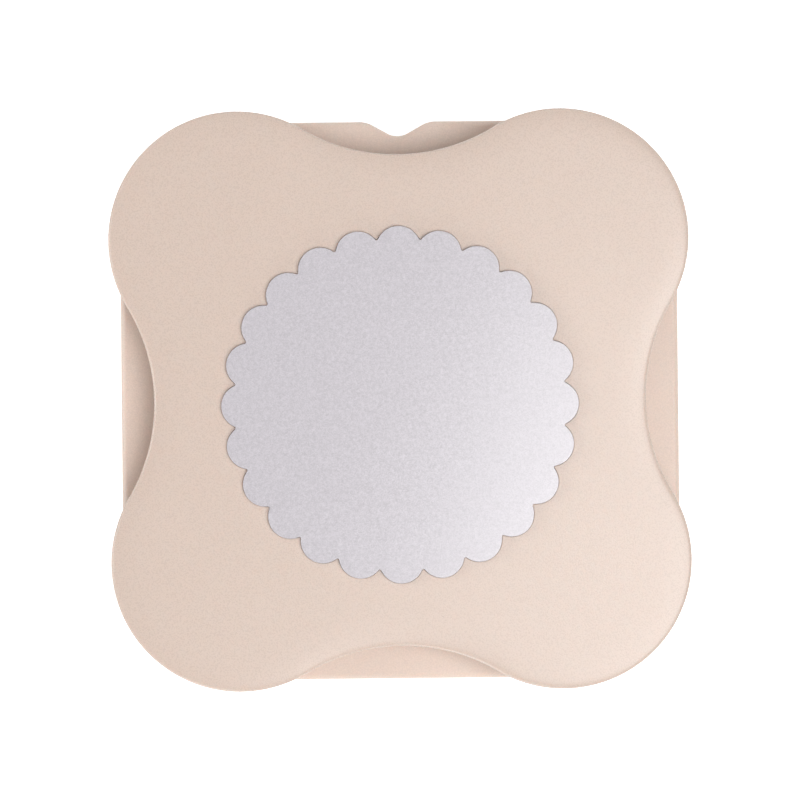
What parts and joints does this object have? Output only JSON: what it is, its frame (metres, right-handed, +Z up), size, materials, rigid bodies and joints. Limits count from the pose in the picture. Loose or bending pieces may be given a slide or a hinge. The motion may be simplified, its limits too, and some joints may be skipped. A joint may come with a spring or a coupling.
{
  "type": "scalloped circle punch",
  "caption": "Hand-pressed craft punch with a square body, four-lobed press cap and scalloped circle die; the cap slides down against return springs.",
  "frame": {"origin": "middle of the foot that the body stands on", "axes": "+Z up, -Y towards the front notch and the paper slot, +X to the right seen from the front"},
  "size_m": [0.124, 0.124, 0.0617],
  "materials": {
    "housing_plastic": "fine spark-eroded grain, matte",
    "cap_plastic": "fine spark-eroded grain, matte",
    "insert_silver": "fine-grained silver paint, satin",
    "die_metal": "cast and ground zinc alloy, dull",
    "punch_metal": "ground zinc alloy",
    "screw_steel": "zinc plated",
    "spring_steel": "drawn spring wire",
    "adhesive_foam": "double-sided tape"
  },
  "bodies": {
    "body": {"lower_housing": "housing_plastic", "upper_housing": "housing_plastic", "die_plate": "die_metal", "guide_plate": "die_metal", "slot_spacer": "die_metal", "base_screws": "screw_steel", "die_screws": "screw_steel", "housing_screws": "screw_steel", "locating_pins": "screw_steel", "return_spring_front_left": "spring_steel", "return_spring_front_right": "spring_steel", "return_spring_rear_left": "spring_steel", "return_spring_rear_right": "spring_steel"},
    "press": {"top_cap": "cap_plastic", "scallop_insert": "insert_silver", "adhesive_disc": "adhesive_foam", "cap_screws": "screw_steel", "plunger": "housing_plastic", "punch_block": "punch_metal", "punch_screws": "screw_steel"}
  },
  "joints": [
    {"name": "press_slide", "type": "slide", "parent": "body", "child": "press", "axis": [0, 0, -1], "range_m": [0, 0.0065], "stiffness_N_per_m": 7500, "springref_m": -0.008, "deforming": ["return_spring_front_left", "return_spring_front_right", "return_spring_rear_left", "return_spring_rear_right"]}
  ]
}
